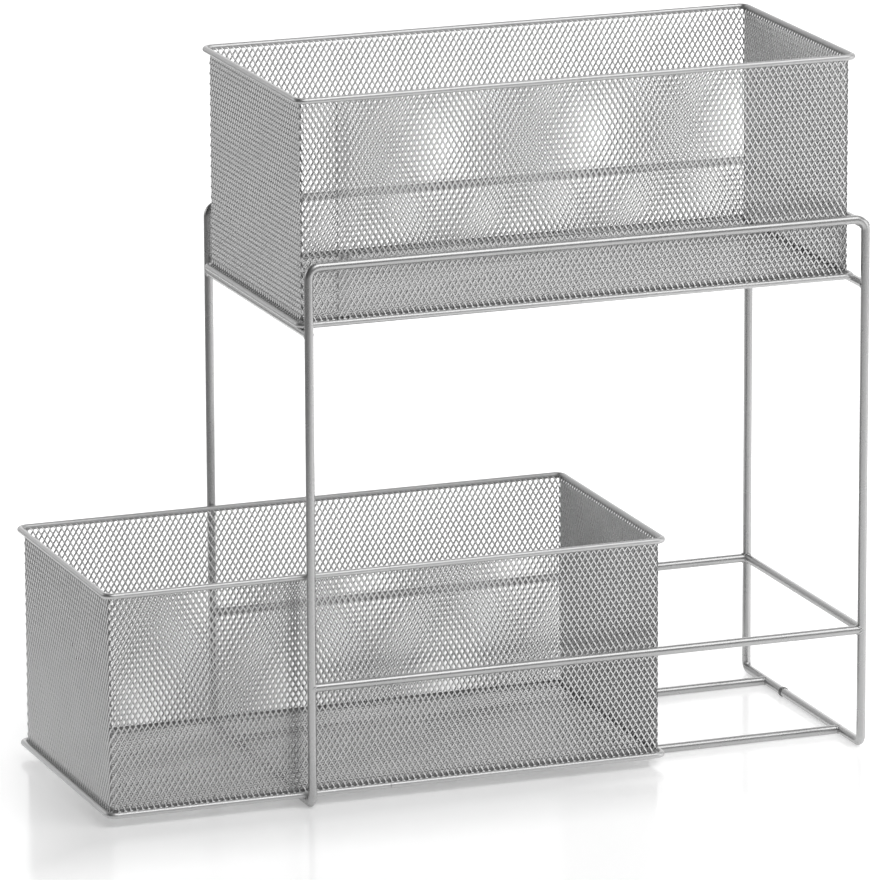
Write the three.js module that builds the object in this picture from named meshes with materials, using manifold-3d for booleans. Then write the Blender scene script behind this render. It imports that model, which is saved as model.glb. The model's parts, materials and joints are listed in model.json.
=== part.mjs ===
// A two-tier wire stand with two pull-out baskets of expanded steel mesh.
// Millimetres, +Z up. The front is -Y, and both baskets pull out towards -X.
import * as THREE from "three";
import { mergeVertices } from "three/addons/utils/BufferGeometryUtils.js";
import Module from "manifold-3d";

// Driving dimensions of the stand
const frameLength = 290; // between the leg axes, along X
const frameDepth = 147; // between the leg axes, along Y
const wireDiameter = 4.4; // steel wire with its powder coat
const topBendRadius = 5.4; // centreline of the bends at the ends of a top rail
const baseBendRadius = 4.2; // centreline of the bends at the foot of a leg
const topRailHeight = 269.6; // axis of the top rails above the floor
const stopRailDrop = 3.2; // the stop rail lies this far below the top rails
const basketSink = 33.2; // the upper cross rails lie this far below the top rails
const fenceHeight = 60.8; // axis of the fence rails above the floor
const runnerInset = 26.3; // from the plane of a hoop in to the nearer runner's axis
const hoopJointShift = 24.5; // where the two hoops meet, behind the stand's middle
const weldGap = 0.3; // between the end of a wire and the wire it is welded to

// Driving dimensions of a basket
const basketExtra = 1.5; // a basket's rims reach this much longer than the leg axes' spacing
const basketHeight = 112.6; // outside of the rims
const rimDiameter = 3;
const rimCornerRadius = 4.2; // centreline of the rim's bead, seen from above
const rimJointGap = 0.3; // butt joint in the middle of the front side
const lipWall = 0.4; // the rim's folded lip on each face of the mesh
const lipReach = 0.4; // the lip stands out of the bead by this much
const meshThickness = 0.6;
const meshInset = 2.1; // from the rim's centreline in to the middle of the mesh
const seamWidth = 6.4; // lap of the wall strip's two ends, on the front wall
const seamFromCorner = 21.5;

// The real diamonds measure 3 by 5 mm. The solid net has far larger ones, as open as those.
const netCellWidth = 26;
const netCellHeight = 53;
const netStrand = 5;
const netEdge = 2.4; // plain border that the rims and corners hold
const netCornerCut = 0.4;

// Fits between the baskets and the stand
const sideClearance = 0.5; // from a basket to the hoops, on each side
const runningClearance = 0.25; // under a basket's bottom rim
const seatGap = 0.3; // between a net and the rim or net beside it
const stopGap = 0.3; // from a closed basket's mesh to the rail behind it
const upperPullOut = 3.8; // where the baskets stand, from closed
const lowerPullOut = 103.3;

// Facets, and a length too small to matter
const tiny = 1e-6;
const wireSides = 12;
const bendSteps = 4;
const beadSteps = 6;

// Sizes that follow
const wireRadius = wireDiameter / 2;
const rimRadius = rimDiameter / 2;
const legX = frameLength / 2;
const legY = frameDepth / 2;
const runnerY = legY - runnerInset;
const tierHeight = topRailHeight - basketSink;
const stopRailHeight = topRailHeight - stopRailDrop;
const basketLength = frameLength + basketExtra;
const basketWidth = frameDepth - wireDiameter - 2 * sideClearance;
const rimX = basketLength / 2 - rimRadius;
const rimY = basketWidth / 2 - rimRadius;
const lipThickness = meshThickness + 2 * lipWall;
const lipEdge = rimRadius + lipReach;
const meshX = rimX - meshInset;
const meshY = rimY - meshInset;
const closedBasketX = legX - wireRadius - stopGap - meshX - meshThickness / 2;
const lowerBasketX = closedBasketX - lowerPullOut;
const upperBasketX = closedBasketX - upperPullOut;
const basketSeat = wireRadius + runningClearance;

const wasm = await Module();
wasm.setup();

const coat = new THREE.MeshStandardMaterial({ color: 0xb9bbbd, roughness: 0.38, metalness: 0.55 });
const meshCoat = new THREE.MeshStandardMaterial({ color: 0xadafb1, roughness: 0.45, metalness: 0.55 });

// A closed geometry as a solid that can be joined and cut
function solidOf(geometry) {
  const bare = new THREE.BufferGeometry();
  const flat = geometry.index ? geometry.toNonIndexed() : geometry;
  bare.setAttribute("position", flat.getAttribute("position"));
  const merged = mergeVertices(bare, 1e-4);
  return new wasm.Manifold(
    new wasm.Mesh({
      numProp: 3,
      vertProperties: merged.attributes.position.array,
      triVerts: new Uint32Array(merged.index.array),
    }),
  );
}

function geometryOf(solid) {
  const { vertProperties, triVerts } = solid.getMesh();
  const geometry = new THREE.BufferGeometry();
  geometry.setAttribute("position", new THREE.BufferAttribute(vertProperties, 3));
  geometry.setIndex(new THREE.BufferAttribute(triVerts, 1));
  geometry.computeVertexNormals();
  return geometry;
}

// A bent wire's centreline: straight runs joined by arcs, with points only where it bends
class BentWire extends THREE.Curve {
  constructor(corners, radii = []) {
    super();
    this.stations = [];
    const last = corners.length - 1;
    const along = (i) => corners[i + 1].clone().sub(corners[i]).normalize();
    this.stations.push({ point: corners[0], tangent: along(0) });
    for (let i = 1; i < last; i++) this.addBend(corners[i], along(i - 1), along(i), radii[i - 1]);
    this.stations.push({ point: corners[last], tangent: along(last - 1) });
  }

  addBend(corner, arriving, leaving, radius) {
    const turn = arriving.angleTo(leaving);
    const start = corner.clone().addScaledVector(arriving, -radius * Math.tan(turn / 2));
    const inward = leaving.clone().addScaledVector(arriving, -Math.cos(turn)).normalize();
    for (let step = 0; step <= bendSteps; step++) {
      const angle = (turn * step) / bendSteps;
      const tangent = arriving.clone().multiplyScalar(Math.cos(angle));
      tangent.addScaledVector(inward, Math.sin(angle));
      const point = start.clone().addScaledVector(arriving, radius * Math.sin(angle));
      point.addScaledVector(inward, radius * (1 - Math.cos(angle)));
      this.stations.push({ point, tangent });
    }
  }

  stationAt(u) {
    return this.stations[Math.round(u * (this.stations.length - 1))];
  }

  getPoint(u) {
    return this.stationAt(u).point.clone();
  }

  getPointAt(u) {
    return this.getPoint(u);
  }

  getTangentAt(u) {
    return this.stationAt(u).tangent.clone();
  }

  sweep(section) {
    const steps = this.stations.length - 1;
    return new THREE.ExtrudeGeometry(section, { steps, extrudePath: this });
  }
}

// The wire's section, with flats that face along the axes, a radius from the centre
function wireSection(radius) {
  const reach = radius / Math.cos(Math.PI / wireSides);
  const points = [];
  for (let i = 0; i < wireSides; i++) {
    const angle = ((i + 0.5) * 2 * Math.PI) / wireSides;
    points.push(new THREE.Vector2(reach * Math.cos(angle), reach * Math.sin(angle)));
  }
  return new THREE.Shape(points);
}

const point = (x, y, z) => new THREE.Vector3(x, y, z);

// One half of the frame: base, leg, top rail, leg and base in one bent wire
function hoopPath(side) {
  const y = side * legY;
  const joint = hoopJointShift + (side * weldGap) / 2;
  return new BentWire(
    [
      point(-legX, joint, wireRadius),
      point(-legX, y, wireRadius),
      point(-legX, y, topRailHeight),
      point(legX, y, topRailHeight),
      point(legX, y, wireRadius),
      point(legX, joint, wireRadius),
    ],
    [baseBendRadius, topBendRadius, topBendRadius, baseBendRadius],
  );
}

const wireOf = (path) => path.sweep(wireSection(wireRadius));
const weldSpace = (path) => solidOf(path.sweep(wireSection(wireRadius + weldGap)));

const alongX = (y, z) => new BentWire([point(-legX, y, z), point(legX, y, z)]);
const alongY = (x, z) => new BentWire([point(x, -legY, z), point(x, legY, z)]);

// A straight wire between two others, its ends shaped to the round wires that carry it
function weldedRail(path, spaces) {
  const rail = spaces.reduce((solid, space) => solid.subtract(space), solidOf(wireOf(path)));
  return geometryOf(rail);
}

function makeStand() {
  const stand = new THREE.Group();
  const add = (name, geometry) => {
    const mesh = new THREE.Mesh(geometry, coat);
    mesh.name = name;
    stand.add(mesh);
  };
  const hoops = { front: hoopPath(-1), back: hoopPath(1) };
  const hoopSpaces = Object.values(hoops).map(weldSpace);
  for (const [side, path] of Object.entries(hoops)) add(side + "_hoop", wireOf(path));

  const crossRails = { left: alongY(-legX, tierHeight), right: alongY(legX, tierHeight) };
  const crossSpaces = Object.values(crossRails).map(weldSpace);
  for (const [side, path] of Object.entries(crossRails))
    add("upper_" + side + "_cross_rail", weldedRail(path, hoopSpaces));

  const stopRail = alongY(legX, stopRailHeight);
  add("upper_stop_rail", weldedRail(stopRail, hoopSpaces));

  const fences = { front: alongX(-legY, fenceHeight), back: alongX(legY, fenceHeight) };
  const fenceSpaces = Object.values(fences).map(weldSpace);
  for (const [side, path] of Object.entries(fences))
    add("fence_" + side + "_rail", weldedRail(path, hoopSpaces));
  const fenceEnd = alongY(legX, fenceHeight);
  add("fence_right_rail", weldedRail(fenceEnd, [...hoopSpaces, ...fenceSpaces]));

  for (const [side, sign] of Object.entries({ front: -1, back: 1 })) {
    const baseRunner = alongX(sign * runnerY, wireRadius);
    const upperRunner = alongX(sign * runnerY, tierHeight);
    add("base_" + side + "_runner", weldedRail(baseRunner, hoopSpaces));
    add("upper_" + side + "_runner", weldedRail(upperRunner, crossSpaces));
  }
  return stand;
}

// The rim's rolled bead with its lip over the mesh. The section's x runs down and its y into the
// basket, so the lip hangs down where lipSide is 1 and stands up where it is -1.
function rimSection(lipSide) {
  const points = [];
  for (let i = 0; i <= beadSteps; i++) {
    const angle = (-Math.PI * i) / beadSteps;
    points.push(new THREE.Vector2(rimRadius * Math.cos(angle), rimRadius * Math.sin(angle)));
  }
  const lipOuter = meshInset - lipThickness / 2;
  const lipInner = meshInset + lipThickness / 2;
  const shoulder = rimRadius * Math.SQRT1_2;
  points.push(new THREE.Vector2(-shoulder, lipOuter));
  points.push(new THREE.Vector2(-shoulder / 2, lipInner));
  points.push(new THREE.Vector2(lipEdge, lipInner));
  points.push(new THREE.Vector2(lipEdge, lipOuter));
  return new THREE.Shape(points.map((p) => p.set(lipSide * p.x, p.y)));
}

// A rim runs once round the basket, from one side of its butt joint to the other
function rim(lipSide) {
  const half = rimJointGap / 2;
  const path = new BentWire(
    [
      point(half, -rimY, 0),
      point(rimX, -rimY, 0),
      point(rimX, rimY, 0),
      point(-rimX, rimY, 0),
      point(-rimX, -rimY, 0),
      point(-half, -rimY, 0),
    ],
    Array(4).fill(rimCornerRadius),
  );
  return path.sweep(rimSection(lipSide));
}

// A diamond hole through a net, cut off at the inside of the border
function diamondHole(cx, cy, halfWidth, halfHeight, limitX, limitY) {
  const corners = [
    [halfWidth, 0],
    [0, halfHeight],
    [-halfWidth, 0],
    [0, -halfHeight],
  ];
  const inside = corners
    .map(([dx, dy]) => new THREE.Vector2(cx + dx, cy + dy))
    .filter((p) => Math.abs(p.x) < limitX + tiny && Math.abs(p.y) < limitY + tiny);
  const depth = 2 * meshThickness;
  const prism = new THREE.ExtrudeGeometry(new THREE.Shape(inside), { depth, bevelEnabled: false });
  return solidOf(prism.translate(0, 0, -meshThickness));
}

// A flat sheet, with its corners cut off where it lies inside a rim's round corners
function sheet(width, height, cut) {
  const w = width / 2;
  const h = height / 2;
  const shape = new THREE.Shape();
  shape.moveTo(w - cut, -h);
  shape.lineTo(w, cut - h);
  shape.lineTo(w, h - cut);
  shape.lineTo(w - cut, h);
  shape.lineTo(cut - w, h);
  shape.lineTo(-w, h - cut);
  shape.lineTo(-w, cut - h);
  shape.lineTo(cut - w, -h);
  const depth = meshThickness;
  const plate = new THREE.ExtrudeGeometry(shape, { depth, bevelEnabled: false });
  return solidOf(plate.translate(0, 0, -depth / 2));
}

// A flat net of diamonds with a plain border, centred on its own origin
function net(width, height, cornerCut = netCornerCut) {
  const openX = width / 2 - netEdge;
  const openY = height / 2 - netEdge;
  const columns = Math.max(1, Math.round((2 * openX) / netCellWidth));
  const rows = Math.max(1, Math.round((2 * openY) / netCellHeight));
  const cellX = openX / columns;
  const cellY = openY / rows;
  const strandShare = (netStrand * Math.hypot(cellX, cellY)) / (2 * cellX * cellY);
  const halfX = cellX * (1 - strandShare);
  const halfY = cellY * (1 - strandShare);
  const holes = [];
  for (let i = 0; i <= 2 * columns; i++) {
    for (let j = 0; j <= 2 * rows; j++) {
      const atCorner = i % (2 * columns) === 0 && j % (2 * rows) === 0;
      if ((i + j) % 2 === 1 || atCorner) continue;
      holes.push(diamondHole(i * cellX - openX, j * cellY - openY, halfX, halfY, openX, openY));
    }
  }
  return sheet(width, height, cornerCut).subtract(wasm.Manifold.union(holes));
}

// The front wall holds the lap where the ends of the wall strip overlap, two layers thick
function seamedNet(width, height) {
  const lap = new THREE.BoxGeometry(seamWidth, height, 2 * meshThickness);
  const lapX = seamFromCorner + seamWidth / 2 - width / 2;
  lap.translate(lapX, 0, meshThickness / 2);
  return net(width, height).add(solidOf(lap));
}

function makeBasket(name) {
  const basket = new THREE.Group();
  const lowRim = rimRadius;
  const highRim = basketHeight - rimRadius;
  const wallHeight = highRim - lowRim - 2 * (lipEdge + seatGap);
  const wallMiddle = (highRim + lowRim) / 2;
  const longWall = 2 * meshX + meshThickness;
  const shortWall = 2 * meshY - meshThickness - 2 * seatGap;
  const lipInside = meshInset + lipThickness / 2 + seatGap;

  const add = (piece, mesh, place) => {
    mesh.name = name + "_" + piece;
    mesh.position.set(...place);
    basket.add(mesh);
  };
  const addNet = (piece, solid, place, turn = [0, 0, 0]) => {
    const mesh = new THREE.Mesh(geometryOf(solid), meshCoat);
    mesh.rotation.set(...turn, "ZXY");
    add(piece, mesh, place);
  };
  const quarter = Math.PI / 2;
  add("top_rim", new THREE.Mesh(rim(1), coat), [0, 0, highRim]);
  add("bottom_rim", new THREE.Mesh(rim(-1), coat), [0, 0, lowRim]);
  addNet("front_wall", seamedNet(longWall, wallHeight), [0, -meshY, wallMiddle], [quarter, 0, 0]);
  addNet("back_wall", net(longWall, wallHeight), [0, meshY, wallMiddle], [quarter, 0, 0]);
  addNet("left_wall", net(shortWall, wallHeight), [-meshX, 0, wallMiddle], [quarter, 0, quarter]);
  addNet("right_wall", net(shortWall, wallHeight), [meshX, 0, wallMiddle], [quarter, 0, quarter]);
  const cut = Math.max(netCornerCut, rimCornerRadius - lipInside);
  addNet("floor", net(2 * (rimX - lipInside), 2 * (rimY - lipInside), cut), [0, 0, lowRim]);
  return basket;
}

const organizer = new THREE.Group();
organizer.add(makeStand());

const upperBasket = makeBasket("upper_basket");
upperBasket.position.set(upperBasketX, 0, tierHeight + basketSeat);
organizer.add(upperBasket);

const lowerBasket = makeBasket("lower_basket");
lowerBasket.position.set(lowerBasketX, 0, wireRadius + basketSeat);
organizer.add(lowerBasket);

// The origin is on the floor, under the middle of the whole object as it stands
const basketsX = [upperBasketX, lowerBasketX];
const leftEnd = Math.min(-legX - wireRadius, ...basketsX.map((x) => x - basketLength / 2));
const rightEnd = Math.max(legX + wireRadius, ...basketsX.map((x) => x + basketLength / 2));
organizer.position.x = -(leftEnd + rightEnd) / 2;

export default organizer;
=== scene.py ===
# %% [markdown]
# # A two-tier wire stand with mesh baskets
# The object is a stand of bent and welded wire that carries two baskets of expanded steel mesh.
# The solids are loaded first, as a fixed frame: they say where every piece is, in metres, and
# which pieces slide. The cells after that dress them: finish, wires, welds, rims, mesh and light.

# %% Load the solids
import json
import math
from collections import namedtuple

import bmesh
import bpy
from mathutils import Matrix, Vector


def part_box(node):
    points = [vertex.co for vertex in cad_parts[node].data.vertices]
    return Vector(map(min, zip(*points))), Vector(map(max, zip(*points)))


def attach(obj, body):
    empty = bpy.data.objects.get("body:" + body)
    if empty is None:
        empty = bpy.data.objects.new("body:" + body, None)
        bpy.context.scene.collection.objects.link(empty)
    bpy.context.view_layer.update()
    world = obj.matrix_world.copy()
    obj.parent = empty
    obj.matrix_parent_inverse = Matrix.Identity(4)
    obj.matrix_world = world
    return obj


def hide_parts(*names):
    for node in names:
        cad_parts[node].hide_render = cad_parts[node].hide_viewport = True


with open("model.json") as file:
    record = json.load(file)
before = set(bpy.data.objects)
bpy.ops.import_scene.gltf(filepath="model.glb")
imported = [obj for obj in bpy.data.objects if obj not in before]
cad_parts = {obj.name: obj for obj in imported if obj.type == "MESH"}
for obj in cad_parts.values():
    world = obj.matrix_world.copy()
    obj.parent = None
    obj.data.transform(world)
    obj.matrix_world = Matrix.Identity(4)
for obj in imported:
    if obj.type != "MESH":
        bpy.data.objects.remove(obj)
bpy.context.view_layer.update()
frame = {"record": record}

MM = 0.001
scene = bpy.context.scene

# %% [markdown]
# ## The camera
# The picture was taken from far away with a long lens, so upright wires stay almost parallel. The
# camera stands to the left of the front and looks down a little. A constraint could aim it at the
# stand, but not with the slight roll it has, so its matrix is made from three angles. Its place is
# measured from the middle of the stand's footprint, which the two hoops give.

# %% Place the camera
front_low, front_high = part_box("front_hoop")
back_low, back_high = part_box("back_hoop")
stand_centre = Vector(((front_low.x + front_high.x) / 2, (front_low.y + back_high.y) / 2, 0))

camera_offset = Vector((-1.3954, -3.5761, 1.1305))
camera_yaw, camera_pitch, camera_roll = 0.3597, -0.2491, -0.0039
focal_pixels, picture_pixels, sensor_width = 7991.4, 880, 36
upright = Vector((0, 0, 1))
forward = Vector((math.sin(camera_yaw) * math.cos(camera_pitch),
                  math.cos(camera_yaw) * math.cos(camera_pitch),
                  math.sin(camera_pitch)))
level = forward.cross(upright).normalized()
rise = level.cross(forward)
right = math.cos(camera_roll) * level + math.sin(camera_roll) * rise
up = math.cos(camera_roll) * rise - math.sin(camera_roll) * level

camera_data = bpy.data.cameras.new("camera")
camera_data.sensor_width = sensor_width
camera_data.lens = focal_pixels * sensor_width / picture_pixels
camera_data.clip_end = 100
camera = bpy.data.objects.new("camera", camera_data)
turn = Matrix((right, up, -forward)).transposed().to_4x4()
camera.matrix_world = Matrix.Translation(stand_centre + camera_offset) @ turn
scene.collection.objects.link(camera)
scene.camera = camera
print("camera lens", round(camera_data.lens, 1), "mm, at", [round(v, 3) for v in camera.location])

# %% [markdown]
# ## Writing node trees as expressions
# Finishes and repeating shapes are both made of nodes. They could be wired by hand in the editor,
# but written down they are easier to read and to repeat. One small class wraps a socket, so that
# arithmetic on it adds Math nodes, and one method adds any other node: its settings come first,
# then the values or links of its sockets. Both kinds of tree use them.

# %% Wrap a socket
class Value:
    def __init__(self, graph, socket):
        self.graph, self.socket = graph, socket

    def math(self, operation, first, second):
        return self.graph.node("ShaderNodeMath", {"operation": operation}, {0: first, 1: second})

    def __add__(self, other):
        return self.math("ADD", self, other)

    def __radd__(self, other):
        return self.math("ADD", other, self)

    def __sub__(self, other):
        return self.math("SUBTRACT", self, other)

    def __rsub__(self, other):
        return self.math("SUBTRACT", other, self)

    def __mul__(self, other):
        return self.math("MULTIPLY", self, other)

    def __rmul__(self, other):
        return self.math("MULTIPLY", other, self)

    def __truediv__(self, other):
        return self.math("DIVIDE", self, other)

    def at_least(self, other):
        return self.math("MAXIMUM", self, other)

    def at_most(self, other):
        return self.math("MINIMUM", self, other)

    def below(self, other):
        return self.math("LESS_THAN", self, other)

    def above(self, other):
        return self.math("GREATER_THAN", self, other)

    def out(self, name):
        return Value(self.graph, self.socket.node.outputs[name])


print("a socket's own words:", [name for name in vars(Value) if not name.startswith("_")])

# %% Wrap a tree
class Graph:
    def __init__(self, tree):
        self.tree = tree

    def node(self, kind, settings=None, sockets=None):
        made = self.tree.nodes.new(kind)
        for name, value in (settings or {}).items():
            setattr(made, name, value)
        for name, value in (sockets or {}).items():
            if isinstance(value, Value):
                self.tree.links.new(value.socket, made.inputs[name])
            else:
                made.inputs[name].default_value = value
        return Value(self, made.outputs[0]) if made.outputs else made


print("a tree's own words:", [name for name in vars(Graph) if not name.startswith("_")])

# %% [markdown]
# ## Trees that make shapes
# What repeats or follows a path is made by Geometry Nodes: wires, weld beads, mesh and spot welds.
# Each could be a Python loop over corner points, but a tree sweeps, repeats and rounds for us. It
# has named inputs for its sizes, so one tree serves many pieces. It ends by making its copies real
# and giving them their coat. To grow a piece, the tree runs on a path of points, and the result is
# kept as a plain mesh that rides on its body.

# %% Grow a mesh from a tree, and place it
class ShapeTree(Graph):
    kinds = {"float": "NodeSocketFloat", "int": "NodeSocketInt", "vector": "NodeSocketVector",
             "object": "NodeSocketObject", "material": "NodeSocketMaterial"}

    def __init__(self, name, **inputs):
        super().__init__(bpy.data.node_groups.new(name, "GeometryNodeTree"))
        face = self.tree.interface
        face.new_socket("Geometry", in_out="INPUT", socket_type="NodeSocketGeometry")
        self.keys = {}
        for label, kind in inputs.items():
            made = face.new_socket(label, in_out="INPUT", socket_type=self.kinds[kind])
            self.keys[label] = made.identifier
        face.new_socket("Geometry", in_out="OUTPUT", socket_type="NodeSocketGeometry")
        self.source = self.node("NodeGroupInput")

    def input(self, label):
        return self.source.out(label)

    def finish(self, geometry):
        solid = self.node("GeometryNodeRealizeInstances", {}, {0: geometry})
        dressed = self.node("GeometryNodeSetMaterial", {},
                            {0: solid, "Material": self.input("material")})
        self.node("NodeGroupOutput", {}, {0: dressed})

    def grow(self, points, edges, bends=(), **values):
        seed = bpy.data.meshes.new("path")
        seed.from_pydata(points, edges, [])
        if bends:
            seed.attributes.new("bend", "FLOAT", "POINT").data.foreach_set("value", bends)
        carrier = bpy.data.objects.new("carrier", seed)
        scene.collection.objects.link(carrier)
        modifier = carrier.modifiers.new("shape", "NODES")
        modifier.node_group = self.tree
        for label, value in values.items():
            modifier[self.keys[label]] = value
        depsgraph = bpy.context.evaluated_depsgraph_get()
        mesh = bpy.data.meshes.new_from_object(carrier.evaluated_get(depsgraph))
        bpy.data.objects.remove(carrier)
        bpy.data.meshes.remove(seed)
        return mesh


def chain(points):
    return list(points), [(i, i + 1) for i in range(len(points) - 1)]


def place(name, mesh, body, nodes=()):
    mesh.name = name
    piece = bpy.data.objects.new(name, mesh)
    scene.collection.objects.link(piece)
    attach(piece, body)
    if nodes:
        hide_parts(*nodes)
    return piece


print("inputs of a shape tree can be:", list(ShapeTree.kinds))

# %% [markdown]
# ## The finish
# Everything has the same satin silver powder coat: metal flake under a soft clear skin. One grey
# metal would look too clean, because the real coat is a little uneven. So its roughness and its
# colour drift slowly, and a very fine bump gives the skin its orange peel. The coat lies
# differently on each kind of piece: it shines most on the stand's wires, is duller on the rims and
# is light on the mesh. The cut sides of the strands are darker, partly for a thinner coat and partly
# as painted shade. A dark coat lies on the butt welds; on the bands along the seams it is painted
# shade, and on the spot welds it is partly the weld and partly painted shade of the crease.

# %% Make the coats
drift_scale, flake_scale, skin_scale = 60, 2600, 900
drift_shade, flake_shade, drift_roughness = 0.10, 0.14, 0.12
peel_strength, peel_depth = 0.07, 0.1 * MM
skin_weight = 0.15


def silver_coat(name, grey, roughness, metallic, skin_roughness, edge_dulling_and_shade=0):
    material = bpy.data.materials.new(name)
    material.use_nodes = True
    material.node_tree.nodes.clear()
    graph = Graph(material.node_tree)
    spot = graph.node("ShaderNodeTexCoord").out("Object")

    def noise(scale, detail):
        return graph.node("ShaderNodeTexNoise", {}, {"Vector": spot, "Scale": scale, "Detail": detail})

    drift, flake, skin = noise(drift_scale, 3), noise(flake_scale, 1), noise(skin_scale, 2)
    peel = graph.node("ShaderNodeBump", {},
                      {"Strength": peel_strength, "Distance": peel_depth, "Height": skin})
    shade = (drift - 0.5) * drift_shade + (flake - 0.5) * flake_shade + 1
    # The marked cut sides are darkened: partly a thinner coat, partly painted shade.
    if edge_dulling_and_shade:
        cut = graph.node("ShaderNodeAttribute", {"attribute_name": "cut_edge"}).out("Fac")
        shade = shade * (1 - edge_dulling_and_shade * cut)
    tint = graph.node("ShaderNodeVectorMath", {"operation": "SCALE"},
                      {0: (grey, grey, grey), "Scale": shade})
    coat = graph.node("ShaderNodeBsdfPrincipled", {}, {
        "Base Color": tint,
        "Roughness": roughness + (drift - 0.5) * drift_roughness,
        "Normal": peel,
        "Metallic": metallic,
        "Coat Weight": skin_weight,
        "Coat Roughness": skin_roughness,
    })
    graph.node("ShaderNodeOutputMaterial", {}, {"Surface": coat})
    return material


wire_coat = silver_coat("wire_coat", grey=0.51, roughness=0.27, metallic=0.9, skin_roughness=0.18)
# A dark coat: the butt welds' own colour, and painted shade on the seam bands and spot welds.
weld_and_shade_coat = silver_coat("weld_and_shade_coat", grey=0.24, roughness=0.45, metallic=0.85, skin_roughness=0.40)
rim_coat = silver_coat("rim_coat", grey=0.61, roughness=0.40, metallic=0.9, skin_roughness=0.34)
# The mesh's cut sides are darkened, partly a thinner coat and partly painted shade.
mesh_coat = silver_coat("mesh_coat", grey=0.67, roughness=0.30, metallic=0.92, skin_roughness=0.24,
                        edge_dulling_and_shade=0.75)
print("coats:", [m.name for m in (wire_coat, weld_and_shade_coat, rim_coat, mesh_coat)])

# %% [markdown]
# ## Bent wires
# Each wire is one round section that follows a path with tight bends. Cylinders could be joined
# with pieces of a torus, but a tree does it in one go: it takes the corners of the path, rounds
# them and sweeps a circle along them. The hoops, the rails and the baskets' rims all come from it,
# and their corners are read from the solids' boxes.

# %% The tree for bent wires
wire_sides, bend_facets = 24, 9
sharp_angle = math.radians(50)
wire_tree = ShapeTree("bent_wire", radius="float", material="material")
centreline = wire_tree.node("GeometryNodeMeshToCurve", {}, {0: wire_tree.source})
bend = wire_tree.node("GeometryNodeInputNamedAttribute", {"data_type": "FLOAT"}, {"Name": "bend"})
bent = wire_tree.node("GeometryNodeFilletCurve", {"mode": "POLY"}, {
    "Curve": centreline, "Count": bend_facets, "Radius": bend, "Limit Radius": True})
section = wire_tree.node("GeometryNodeCurvePrimitiveCircle", {"mode": "RADIUS"},
                         {"Resolution": wire_sides, "Radius": wire_tree.input("radius")})
swept = wire_tree.node("GeometryNodeCurveToMesh", {},
                       {"Curve": bent, "Profile Curve": section, "Fill Caps": True})
smooth = wire_tree.node("GeometryNodeSetShadeSmooth", {}, {"Geometry": swept, "Shade Smooth": True})
wire_tree.finish(smooth)


def bent_wire(corners, radius, bends, material):
    mesh = wire_tree.grow(*chain(corners), bends=[0, *bends, 0], radius=radius, material=material)
    mesh.set_sharp_from_angle(angle=sharp_angle)
    return mesh


print("wire tree with", len(wire_tree.tree.nodes), "nodes")

# %% [markdown]
# ## The stand
# Two hoops make the legs, the top rails and the sides of the base. Straight rails are welded
# between them. A rail could be cut to the curve of the wire that carries it, but it is simpler to
# run it to the middle of that wire, where its end is hidden.

# %% Hoops
runner_low, runner_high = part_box("base_front_runner")
wire_radius = (runner_high.z - runner_low.z) / 2
top_bend, base_bend = 5.4 * MM, 4.2 * MM
leg_left, leg_right = front_low.x + wire_radius, front_high.x - wire_radius
leg_front, leg_back = front_low.y + wire_radius, back_high.y - wire_radius
top_z = front_high.z - wire_radius
hoops = {"front_hoop": (leg_front, front_high.y), "back_hoop": (leg_back, back_low.y)}
for name, (y, joint) in hoops.items():
    corners = [(leg_left, joint, wire_radius), (leg_left, y, wire_radius), (leg_left, y, top_z),
               (leg_right, y, top_z), (leg_right, y, wire_radius), (leg_right, joint, wire_radius)]
    mesh = bent_wire(corners, wire_radius, [base_bend, top_bend, top_bend, base_bend], wire_coat)
    place(name + "_wire", mesh, "stand", [name])
print("hoops:", len(hoops), "of wire", round(2 * wire_radius / MM, 2), "mm thick")

# %% Rails
rails = {}
for name in frame["record"]["behaviour"]["bodies"]["stand"]:
    if name in hoops:
        continue
    low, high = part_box(name)
    middle = (low + high) / 2
    if high.x - low.x > high.y - low.y:
        ends = [(leg_left, middle.y, middle.z), (leg_right, middle.y, middle.z)]
    else:
        ends = [(middle.x, leg_front, middle.z), (middle.x, leg_back, middle.z)]
    rails[name] = [Vector(end) for end in ends]
    place(name + "_wire", bent_wire(ends, wire_radius, [], wire_coat), "stand", [name])
print("rails:", list(rails))

# %% [markdown]
# ## Weld beads
# Where a rail meets another wire, a small fillet of weld runs round the joint under the coat. It
# could be sculpted at each joint, but there are twenty, and two equal round wires always meet in
# the same saddle curve. So a bead is swept along that curve and made a little lumpy with noise.
# Beads never stand out past the hoops or below the floor, and those on the base and on the tier
# are ground almost flush with the top of the wire, because the baskets slide there.

# %% The tree for beads
bead_sides, lump_scale = 10, 420
bead_tree = ShapeTree("weld_bead", radius="float", lumps="float", lowest="vector", highest="vector",
                      material="material")
saddle = bead_tree.node("GeometryNodeMeshToCurve", {}, {0: bead_tree.source})
bead_section = bead_tree.node("GeometryNodeCurvePrimitiveCircle", {"mode": "RADIUS"},
                              {"Resolution": bead_sides, "Radius": bead_tree.input("radius")})
bead = bead_tree.node("GeometryNodeCurveToMesh", {}, {"Curve": saddle, "Profile Curve": bead_section})
lump = bead_tree.node("ShaderNodeTexNoise", {}, {"Scale": lump_scale, "Detail": 2})
outward = bead_tree.node("GeometryNodeInputNormal")
push = bead_tree.node("ShaderNodeVectorMath", {"operation": "SCALE"},
                      {0: outward, "Scale": (lump - 0.5) * bead_tree.input("lumps")})
lumpy = bead_tree.node("GeometryNodeSetPosition", {}, {"Geometry": bead, "Offset": push})
where = bead_tree.node("GeometryNodeInputPosition")
raised = bead_tree.node("ShaderNodeVectorMath", {"operation": "MAXIMUM"},
                        {0: where, 1: bead_tree.input("lowest")})
inside = bead_tree.node("ShaderNodeVectorMath", {"operation": "MINIMUM"},
                        {0: raised, 1: bead_tree.input("highest")})
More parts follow.
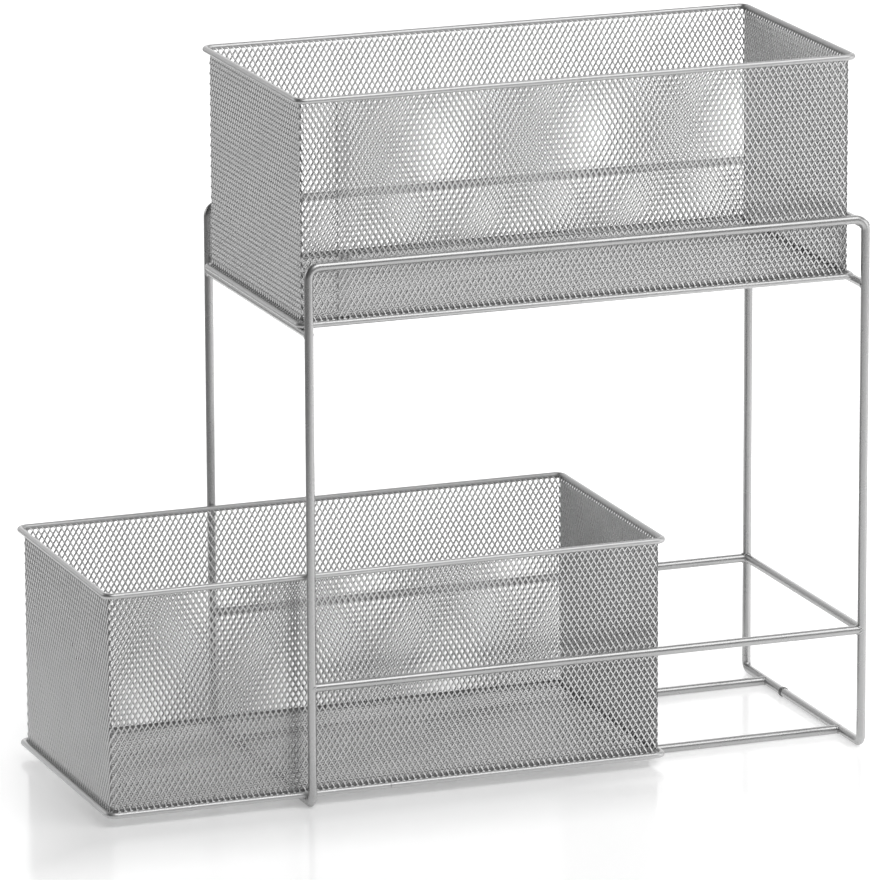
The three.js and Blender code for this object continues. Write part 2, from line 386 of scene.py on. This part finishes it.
flat = bead_tree.node("GeometryNodeSetPosition", {}, {"Geometry": lumpy, "Position": inside})
rounded = bead_tree.node("GeometryNodeSetShadeSmooth", {}, {"Geometry": flat, "Shade Smooth": True})
bead_tree.finish(rounded)
print("bead tree with", len(bead_tree.tree.nodes), "nodes")

# %% One bead at each joint
bead_radius, bead_lumps, bead_past = 0.75 * MM, 0.5 * MM, 0.15 * MM
bead_sunk = wire_radius - 0.35 * MM
ground_flush = 0.1 * MM
sideways = Vector((0, 1, 0))
lowest, highest = Vector((*front_low.xy, 0)), Vector((back_high.x, back_high.y, front_high.z))


def saddle_loop(joint, into, across, steps=28):
    side = into.cross(across)
    loop = []
    for i in range(steps):
        angle = 2 * math.pi * i / steps
        reach = wire_radius * abs(math.cos(angle)) + bead_past
        around = math.cos(angle) * across + math.sin(angle) * side
        loop.append(joint + into * reach + bead_sunk * around)
    return loop


def grow_loops(loops, top, radius, lumps, material):
    points, edges = [], []
    for loop in loops:
        start = len(points)
        points += loop
        edges += [(start + i, start + (i + 1) % len(loop)) for i in range(len(loop))]
    return bead_tree.grow(points, edges, radius=radius, lumps=lumps, lowest=lowest,
                          highest=Vector((*highest.xy, top)), material=material)


bead_groups = {"base_weld_beads": ("base",), "tier_weld_beads": ("upper_front", "upper_back", "cross"),
               "rail_weld_beads": ("fence", "stop")}
for group, words in bead_groups.items():
    loops, top = [], highest.z
    for name, ends in rails.items():
        if any(word in name for word in words):
            across = sideways if "runner" in name else upright
            for end, other in (ends, ends[::-1]):
                loops.append(saddle_loop(end, (other - end).normalized(), across))
            if group != "rail_weld_beads":
                top = ends[0].z + wire_radius + ground_flush
    place(group, grow_loops(loops, top, bead_radius, bead_lumps, wire_coat), "stand")
    print(group, len(loops))

# %% [markdown]
# ## Butt welds
# The two hoops are butt welded to each other in the sides of the base, two thirds of the way back.
# The weld was ground only roughly, so two low ridges are left with a dark groove between them. A
# bump in the coat wouldn't show in the wire's outline, so the ridges are round beads from the same
# tree.

# %% The butt welds of the hoops
ridge_step, ridge_radius, ridge_lumps, ridge_steps = 0.75 * MM, 0.7 * MM, 0.25 * MM, 24
ridge_sunk = wire_radius - 0.3 * MM
around_wire = [2 * math.pi * i / ridge_steps for i in range(ridge_steps)]
ridge_loops = []
for x in (leg_left, leg_right):
    for y in ((front_high.y + back_low.y) / 2 + step for step in (-ridge_step, ridge_step)):
        ridge_loops.append([
            (x + ridge_sunk * math.cos(angle), y, wire_radius + ridge_sunk * math.sin(angle))
            for angle in around_wire])
ridges = grow_loops(ridge_loops, 2 * wire_radius + ground_flush, ridge_radius, ridge_lumps, weld_and_shade_coat)
place("hoop_butt_welds", ridges, "stand")
print("butt weld ridges:", len(ridge_loops))

# %% [markdown]
# ## The baskets' rims
# Each basket has a round rim along its top and its bottom edge, bent once round and closed by a
# butt joint in the middle of the front side. A closed ring would be simpler, but it would hide the
# joint, so the path starts and ends there with a hair's gap. The tree is that of the stand's wires.

# %% Rims
baskets = ("upper_basket", "lower_basket")
rim_radius, rim_bend, rim_gap = 1.5 * MM, 4.2 * MM, 0.08 * MM
rim_rings = {}
for basket in baskets:
    for edge in ("top_rim", "bottom_rim"):
        node = basket + "_" + edge
        low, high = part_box(node)
        z = high.z - rim_radius if edge == "top_rim" else low.z + rim_radius
        x0, x1 = low.x + rim_radius, high.x - rim_radius
        y0, y1 = low.y + rim_radius, high.y - rim_radius
        middle = (x0 + x1) / 2
        corners = [(middle + rim_gap, y0, z), (x1, y0, z), (x1, y1, z),
                   (x0, y1, z), (x0, y0, z), (middle - rim_gap, y0, z)]
        mesh = bent_wire(corners, rim_radius, [rim_bend] * 4, rim_coat)
        place(node + "_wire", mesh, basket, [node])
        rim_rings[node] = (x0, x1, y0, y1, z)
print("rims:", len(rim_rings))

# %% [markdown]
# ## The expanded mesh
# Expanded metal is a sheet that is slit and pulled, so its strands are twisted and all lean the
# same way about the long axis of the diamonds. That lean makes one set of strands catch the light
# while the other stays dark. A flat sheet with a see-through pattern would look right only from
# afar, so every strand is made. One tile holds a joint and the two strands that leave it to the
# right, with its cut sides marked: the coat darkens them, partly for a thinner coat there and partly
# as painted shade of the strands' sides.

# %% The tile of one joint and two strands
diamond_width, diamond_height = 2.975 * MM, 5.2 * MM
strand_share = 0.27
strand_lean = 0.26 * MM
strand_depth = 0.40 * MM
strand_twist = math.radians(28)


def diamond_tile(width, height, lean):
    a, b = strand_share * width / 2, strand_share * height / 2
    joint = [(0, b, 0), (-a, 0, lean * strand_lean), (0, -b, 0), (a, 0, -lean * strand_lean)]
    half = strand_depth / 2 * Vector((lean * math.sin(strand_twist), 0, math.cos(strand_twist)))
    top, left, bottom, right_side = joint

    def shifted(p, up_or_down):
        return (p[0] + width / 2, p[1] + up_or_down * height / 2, p[2])

    rising = [right_side, shifted(bottom, 1), shifted(left, 1), top]
    falling = [bottom, shifted(left, -1), shifted(top, -1), right_side]
    vertices, faces, cut_edge = [], [], []

    def add(corners, is_cut):
        faces.append(tuple(range(len(vertices), len(vertices) + len(corners))))
        vertices.extend(corners)
        cut_edge.append(is_cut)

    for loop in (joint, rising, falling):
        add([Vector(p) + half for p in loop], 0)
        add([Vector(p) - half for p in reversed(loop)], 0)
    for loop in (rising, falling):
        for p, q in ((loop[0], loop[1]), (loop[2], loop[3])):
            p, q = Vector(p), Vector(q)
            add([p - half, q - half, q + half, p + half], 1)
    mesh = bpy.data.meshes.new("diamond_tile")
    mesh.from_pydata(vertices, [], faces)
    mesh.attributes.new("cut_edge", "FLOAT", "FACE").data.foreach_set("value", cut_edge)
    return bpy.data.objects.new("diamond_tile", mesh)


print("strand width:", round(strand_share * diamond_width / MM, 2), "mm")

# %% [markdown]
# A tree repeats the tile on two staggered grids and joins the copies where they touch. What sticks
# out past the net's upper and lower edge is trimmed, which leaves half rows where they are needed.
# The flat net is then laid along a path: how far along a point lies picks its place on the path,
# and its height and depth are set off from there. An Array with a Curve modifier would bend the
# net too, but couldn't flare its edges out into the rims.

# %% Repeat the tile on two grids
net_tree = ShapeTree("expanded_mesh", tile="object", columns="int", rows="int", width="float",
                     height="float", tall="float", up="vector", flare="float", flare_height="float",
                     material="material")
columns, rows = net_tree.input("columns"), net_tree.input("rows")
width, height = net_tree.input("width"), net_tree.input("height")


def grid_of_joints(across, upwards):
    grid = net_tree.node("GeometryNodeMeshGrid", {}, {
        "Size X": (columns - 1) * width, "Size Y": (rows - 1) * height,
        "Vertices X": columns, "Vertices Y": rows})
    start = net_tree.node("ShaderNodeCombineXYZ", {}, {
        "X": (columns - 1) * width * 0.5 + width * across,
        "Y": (rows - 1) * height * 0.5 + height * upwards})
    return net_tree.node("GeometryNodeTransform", {}, {"Geometry": grid, "Translation": start})


touch_distance, trim_slack = 1e-6, 0.1 * MM
joints = net_tree.node("GeometryNodeJoinGeometry")
for grid in (grid_of_joints(0, 0.5), grid_of_joints(0.5, 0)):
    net_tree.tree.links.new(grid.socket, joints.socket.node.inputs[0])
tile_info = net_tree.node("GeometryNodeObjectInfo", {}, {"Object": net_tree.input("tile")})
copies = net_tree.node("GeometryNodeInstanceOnPoints", {},
                       {"Points": joints, "Instance": tile_info.out("Geometry")})
flat_net = net_tree.node("GeometryNodeRealizeInstances", {}, {0: copies})
joined = net_tree.node("GeometryNodeMergeByDistance", {}, {0: flat_net, "Distance": touch_distance})
spot = net_tree.node("ShaderNodeSeparateXYZ", {}, {0: net_tree.node("GeometryNodeInputPosition")})
along, upwards, depth = spot.out("X"), spot.out("Y"), spot.out("Z")
tall = net_tree.input("tall")
past_edge = upwards.below(-trim_slack).at_least(upwards.above(tall + trim_slack))
trimmed = net_tree.node("GeometryNodeDeleteGeometry", {"domain": "FACE"},
                        {0: joined, "Selection": past_edge})
print("mesh tree with", len(net_tree.tree.nodes), "nodes so far")

# %% Lay the net along a path
path = net_tree.node("GeometryNodeMeshToCurve", {}, {0: net_tree.source})
sample = net_tree.node("GeometryNodeSampleCurve", {"mode": "LENGTH", "use_all_curves": True},
                       {"Curves": path, "Length": along})
net_up = net_tree.input("up")
outside = net_tree.node("ShaderNodeVectorMath", {"operation": "CROSS_PRODUCT"},
                        {0: sample.out("Tangent"), 1: net_up})
raised = net_tree.node("ShaderNodeVectorMath", {"operation": "SCALE"}, {0: net_up, "Scale": upwards})
from_edge = upwards.at_most(tall - upwards)
near_edge = 1 - (from_edge / net_tree.input("flare_height")).at_least(0).at_most(1)
stand_off = depth + near_edge * near_edge * net_tree.input("flare")
pushed = net_tree.node("ShaderNodeVectorMath", {"operation": "SCALE"}, {0: outside, "Scale": stand_off})
low_point = net_tree.node("ShaderNodeVectorMath", {"operation": "ADD"},
                          {0: sample.out("Position"), 1: raised})
final_point = net_tree.node("ShaderNodeVectorMath", {"operation": "ADD"}, {0: low_point, 1: pushed})
laid = net_tree.node("GeometryNodeSetPosition", {}, {"Geometry": trimmed, "Position": final_point})
net_tree.finish(laid)
print("mesh tree with", len(net_tree.tree.nodes), "nodes")

# %% [markdown]
# A net gets a whole number of columns and of half rows, so it ends in a clean line of joints. The
# strands are open where the net ends, like cut tubes, so those holes are filled.

# %% Grow one net
wall_flare, flare_height = 1.4 * MM, 3 * MM


def close_ends(mesh):
    shape = bmesh.new()
    shape.from_mesh(mesh)
    bmesh.ops.holes_fill(shape, edges=[edge for edge in shape.edges if edge.is_boundary])
    shape.to_mesh(mesh)
    shape.free()


def net(points, tall, up, flare, lean=1):
    path_length = sum((q - p).length for p, q in zip(points, points[1:]))
    column_count = round(path_length / diamond_width)
    row_count = round(2 * tall / diamond_height) / 2
    w, h = path_length / column_count, tall / row_count
    tile = diamond_tile(w, h, lean)
    mesh = net_tree.grow(*chain(points), tile=tile, columns=column_count, rows=math.ceil(row_count),
                         width=w, height=h, tall=tall, up=up, flare=flare, flare_height=flare_height,
                         material=mesh_coat)
    bpy.data.objects.remove(tile)
    close_ends(mesh)
    return mesh


def triangle_count(mesh):
    return sum(len(p.vertices) - 2 for p in mesh.polygons)


print("edges flare by", round(wall_flare / MM, 2), "mm")

# %% [markdown]
# ## Walls
# A basket's wall is one strip of mesh bent round four tight corners. One net could run all the way
# round, but each side replaces a solid of its own, so the strip is laid as four lengths that meet
# in the corners, each with a whole number of diamonds. The strip's end overlaps its start on the
# front side of the upper basket, near the left corner: there a narrow second net lies on the first.

# %% Where the walls stand
wall_inset, wall_corner, edge_past_rim = 2.1 * MM, 2.4 * MM, 0.7 * MM
Shell = namedtuple("Shell", "x0 x1 y0 y1 floor_z foot head")
shells = {}
for basket in baskets:
    x0, x1, y0, y1, z0 = rim_rings[basket + "_bottom_rim"]
    z1 = rim_rings[basket + "_top_rim"][4]
    shells[basket] = Shell(x0 + wall_inset, x1 - wall_inset, y0 + wall_inset, y1 - wall_inset,
                           z0, z0 - edge_past_rim, z1 + edge_past_rim)


def ring_at(shell, z):
    corners = (shell.x0, shell.y0), (shell.x1, shell.y0), (shell.x1, shell.y1), (shell.x0, shell.y1)
    return [Vector((x, y, z)) for x, y in corners]


def sides_of(ring):
    return zip(ring, ring[1:] + ring[:1])


def wall_line(start, end, bend_steps=5):
    along = (end - start).normalized()
    out = along.cross(upright)
    first = start + wall_corner * (along - out)
    last = end - wall_corner * (along + out)
    angles = [math.pi / 4 * i / bend_steps for i in range(bend_steps + 1)]
    line = [first + wall_corner * (out * math.cos(a) - along * math.sin(a)) for a in reversed(angles)]
    return line + [last + wall_corner * (out * math.cos(a) + along * math.sin(a)) for a in angles]


print("wall heights:", [round((shell.head - shell.foot) / MM, 1) for shell in shells.values()], "mm")

# %% Lay the walls
lap_step, lap_lean = 0.75 * MM, 0.3
lap_from_corner, lap_columns = 18.1 * MM, 2
for basket, shell in shells.items():
    ring, wall_height = ring_at(shell, shell.foot), shell.head - shell.foot
    for side, (start, end) in zip(("front", "right", "back", "left"), sides_of(ring)):
        node = f"{basket}_{side}_wall"
        mesh = net(wall_line(start, end), wall_height, upright, wall_flare)
        place(node + "_mesh", mesh, basket, [node])
        print(node, "triangles:", triangle_count(mesh))
    if basket == "upper_basket":
        lap_ends = (lap_from_corner, lap_from_corner + lap_columns * diamond_width)
        lap_line = [ring[0] + Vector((x, -lap_step, 0)) for x in lap_ends]
        lap = net(lap_line, wall_height, upright, wall_flare, lean=lap_lean)
        place(basket + "_wall_lap_mesh", lap, basket)
        print(lap.name, "triangles:", triangle_count(lap))

# %% [markdown]
# ## Painted shade along the seams
# Where the walls run into the rims and the floor, a row of small dark gaps shows, where shade
# falls between the strands. Modelling each gap would take thousands of faces that nobody sees. A
# thin dark band that stands in the plane of the walls and follows their flare paints that shade:
# it is seen only between the strands, so it gives the same row of dark gaps as painted shade.

# %% Dark bands of painted shade along the seams
floor_seam_shade_height, rim_seam_shade_height = 3.2 * MM, 1.6 * MM
outwards = [Vector((-1, -1, 0)), Vector((1, -1, 0)), Vector((1, 1, 0)), Vector((-1, 1, 0))]


# A dark band of painted shade: seen between the strands, it stands for the shade in a seam's gaps.
def seam_shade_band(ring, seam_height, upwards, half_thick=0.07 * MM, levels=5):
    heights = [seam_height * i / (levels - 1) for i in range(levels)]
    loops = []
    for side, order in ((half_thick, heights), (-half_thick, heights[::-1])):
        for from_edge in order:
            offset = wall_flare * max(0, 1 - from_edge / flare_height) ** 2 + side
            corners = [c + offset * out + upwards * from_edge * upright for c, out in zip(ring, outwards)]
            loops.append([p for a, b in sides_of(corners) for p in wall_line(a, b)[:-1]])
    count, rings = len(loops[0]), len(loops)

    def at(r, i):
        return r % rings * count + i % count

    faces = [(at(r, i), at(r, i + 1), at(r + 1, i + 1), at(r + 1, i))[::upwards]
             for r in range(rings) for i in range(count)]
    mesh = bpy.data.meshes.new("seam_shade_band")
    mesh.from_pydata([p for loop in loops for p in loop], [], faces)
    mesh.materials.append(weld_and_shade_coat)
    return mesh


# Painted shade along the floor and under the top rim of each basket.
for basket, shell in shells.items():
    floor_seam_shade = seam_shade_band(ring_at(shell, shell.foot), floor_seam_shade_height, 1)
    place(basket + "_floor_seam", floor_seam_shade, basket)
    rim_seam_shade = seam_shade_band(ring_at(shell, shell.head), rim_seam_shade_height, -1)
    place(basket + "_rim_seam", rim_seam_shade, basket)
    print(basket, "seam faces:", len(floor_seam_shade.polygons), len(rim_seam_shade.polygons))

# %% [markdown]
# The floor is spot welded to the wall along its left and right edges, one spot for each diamond.
# The spots are small, dark and half hidden, so a tree sets a plain ball at equal steps along each
# edge: a finer shape wouldn't be seen. Their dark coat is partly the weld and partly painted shade
# of the gaps in the crease.

# %% Spot welds along the floor's edges, dark partly with painted shade
spot_radius, spot_in, ball_levels = 0.8 * MM, 0.75 * MM, 2
spot_tree = ShapeTree("spot_welds", spacing="float", radius="float", material="material")
seam_line = spot_tree.node("GeometryNodeMeshToCurve", {}, {0: spot_tree.source})
spots = spot_tree.node("GeometryNodeCurveToPoints", {"mode": "LENGTH"},
                       {"Curve": seam_line, "Length": spot_tree.input("spacing")})
ball = spot_tree.node("GeometryNodeMeshIcoSphere", {},
                      {"Radius": spot_tree.input("radius"), "Subdivisions": ball_levels})
welded = spot_tree.node("GeometryNodeInstanceOnPoints", {}, {"Points": spots, "Instance": ball})
spot_tree.finish(welded)
for basket, shell in shells.items():
    points, edges = [], []
    for x in (shell.x0 + spot_in, shell.x1 - spot_in):
        edges.append((len(points), len(points) + 1))
        points += [Vector((x, y, shell.floor_z + spot_in))
                   for y in (shell.y0 + wall_corner, shell.y1 - wall_corner)]
    # The dark coat on the spots is partly the weld and partly painted shade of the crease.
    spot_row = spot_tree.grow(points, edges, spacing=diamond_width, radius=spot_radius, material=weld_and_shade_coat)
    place(basket + "_spot_welds", spot_row, basket)
    print(spot_row.name, "triangles:", triangle_count(spot_row))

# %% [markdown]
# ## Floors
# A basket's floor is a flat sheet of the same mesh, cut a little smaller than the walls. The long
# axis of its diamonds runs from front to back. It comes from the same tree, laid along the front
# edge with its rows going back, and the sheet is turned over, so its strands lean the other way.

# %% Lay the floors
floor_gap, floor_lean = 0.5 * MM, -0.8
for basket, shell in shells.items():
    node = basket + "_floor"
    line = [Vector((x, shell.y0 + floor_gap, shell.floor_z))
            for x in (shell.x0 + floor_gap, shell.x1 - floor_gap)]
    mesh = net(line, shell.y1 - shell.y0 - 2 * floor_gap, sideways, 0, lean=floor_lean)
    place(node + "_mesh", mesh, basket, [node])
    print(node, "triangles:", triangle_count(mesh))

# %% [markdown]
# ## The studio floor
# The object stands on a plain white studio floor that runs out to the horizon. A white floor under
# the lamps alone would turn grey away from them, and a floor of pure light would show no shadow.
# So the paint is white and adds a soft glow that shows only to the camera and in reflections.
# The glow is stronger in front, at the sides and far back, weaker under the baskets, and ends
# outside the picture.

# %% Paint the studio floor
floor_size, floor_height = 30, -0.05 * MM
half_size = floor_size / 2
floor_mesh = bpy.data.meshes.new("studio_floor")
floor_corners = [(-half_size, -half_size, floor_height), (half_size, -half_size, floor_height),
                 (half_size, half_size, floor_height), (-half_size, half_size, floor_height)]
floor_mesh.from_pydata(floor_corners, [], [(0, 1, 2, 3)])
floor = bpy.data.objects.new("studio_floor", floor_mesh)
scene.collection.objects.link(floor)

floor_paint = bpy.data.materials.new("floor_paint")
floor_paint.use_nodes = True
floor_paint.node_tree.nodes.clear()
floor_graph = Graph(floor_paint.node_tree)
ray = floor_graph.node("ShaderNodeLightPath")
seen = ray.out("Is Camera Ray")
for kind in ("Is Glossy Ray", "Is Transmission Ray"):
    seen = seen.at_least(ray.out(kind))
place_on_floor = floor_graph.node("ShaderNodeTexCoord").out("Object")
backwards = Vector((forward.x, forward.y, 0)).normalized()
near_corner = -0.77 * backwards - 0.64 * level


def distance_along(direction):
    return floor_graph.node("ShaderNodeVectorMath", {"operation": "DOT_PRODUCT"},
                            {0: place_on_floor, 1: direction}).out("Value")


def share_past(distance, start, length):
    return ((distance - start) / length).at_least(0).at_most(1)


behind, beside = distance_along(backwards), distance_along(level)
left_end, left_spread, left_fade = 0.40, 0.06, 0.16
right_end, right_fade = 1.0, 0.3
near_end, near_fade = 0.37, 0.5
past_left = (-1 * beside - left_end - left_spread * behind.at_least(0)) / left_fade
past_right = (beside - right_end) / right_fade
past_near = (distance_along(near_corner) - near_end) / near_fade
in_picture = (1 - past_left.at_least(past_right).at_least(past_near)).at_least(0).at_most(1)

in_front = share_past(distance_along(-sideways), start=0.085, length=0.06)
on_right = share_past(beside, start=0.05, length=0.15)
on_left = share_past(-1 * beside, start=0.165, length=0.06)
far_back = share_past(behind, start=0.10, length=0.35)
least_glow, open_glow, back_glow = 0.26, 0.22, 0.35
in_open = in_front.at_least(on_right).at_least(on_left)
glow = seen * in_picture * (least_glow + open_glow * in_open + back_glow * far_back)
white = floor_graph.node("ShaderNodeVectorMath", {"operation": "SCALE"}, {0: (1, 1, 1), "Scale": glow})
paint = floor_graph.node("ShaderNodeBsdfPrincipled", {}, {
    "Base Color": (0.86, 0.86, 0.86, 1), "Roughness": 0.14, "Specular IOR Level": 0.4,
    "Emission Color": white, "Emission Strength": 1.0})
floor_graph.node("ShaderNodeOutputMaterial", {}, {"Surface": paint})
floor_mesh.materials.append(floor_paint)
print("floor paint with", len(floor_paint.node_tree.nodes), "nodes")

# %% [markdown]
# ## Lamps and sky
# Satin metal shows what stands around it, so the light is as large and soft as in a studio. A big
# lamp hangs overhead in front, a weaker one stands to the right, and a faint one behind the left
# corner lifts the dark left sides. The sky is bright mainly behind the object and a little brighter
# on the right, which gives the wires their light and dark lines.

# %% Hang the lamps
def soft_lamp(name, place_at, look_at, size, power, beam):
    light = bpy.data.lights.new(name, "AREA")
    light.shape = "RECTANGLE"
    light.size, light.size_y = size
    light.energy = power
    light.spread = math.radians(beam)
    lamp = bpy.data.objects.new(name, light)
    lamp.location = place_at
    lamp.rotation_euler = (Vector(look_at) - Vector(place_at)).to_track_quat("-Z", "Y").to_euler()
    lamp.visible_camera = False
    scene.collection.objects.link(lamp)


soft_lamp("key_lamp", place_at=(0.3, -0.85, 1.45), look_at=(0.05, 0, 0.1), size=(1.7, 1.3),
          power=5.2, beam=110)
soft_lamp("right_lamp", place_at=(1.13, -0.6, 0.38), look_at=(0, 0, 0.18), size=(1.0, 0.7),
          power=1.12, beam=110)
soft_lamp("left_lamp", place_at=(-1.0, 0.75, 0.56), look_at=(-0.15, 0, 0.31), size=(0.9, 0.6),
          power=0.46, beam=90)
print("lamps:", [o.name for o in scene.objects if o.type == "LIGHT"])

# %% Light the sky
world = bpy.data.worlds.new("studio")
scene.world = world
world.use_nodes = True
world.node_tree.nodes.clear()
sky_graph = Graph(world.node_tree)
direction = sky_graph.node("ShaderNodeTexCoord").out("Generated")


def share_towards(side):
    return sky_graph.node("ShaderNodeVectorMath", {"operation": "DOT_PRODUCT"},
                          {0: direction, 1: side}).out("Value")


even_light, right_light, back_light, least_light = 0.17, 0.24, 1.15, 0.05
to_back = share_towards(backwards).at_least(0)
strength = even_light + right_light * share_towards(level) + back_light * to_back * to_back
sky = sky_graph.node("ShaderNodeBackground", {},
                     {"Color": (1, 1, 1, 1), "Strength": strength.at_least(least_light)})
sky_graph.node("ShaderNodeOutputWorld", {}, {"Surface": sky})
scene.view_settings.view_transform = "Standard"
print("sky with", len(world.node_tree.nodes), "nodes")

# %% [markdown]
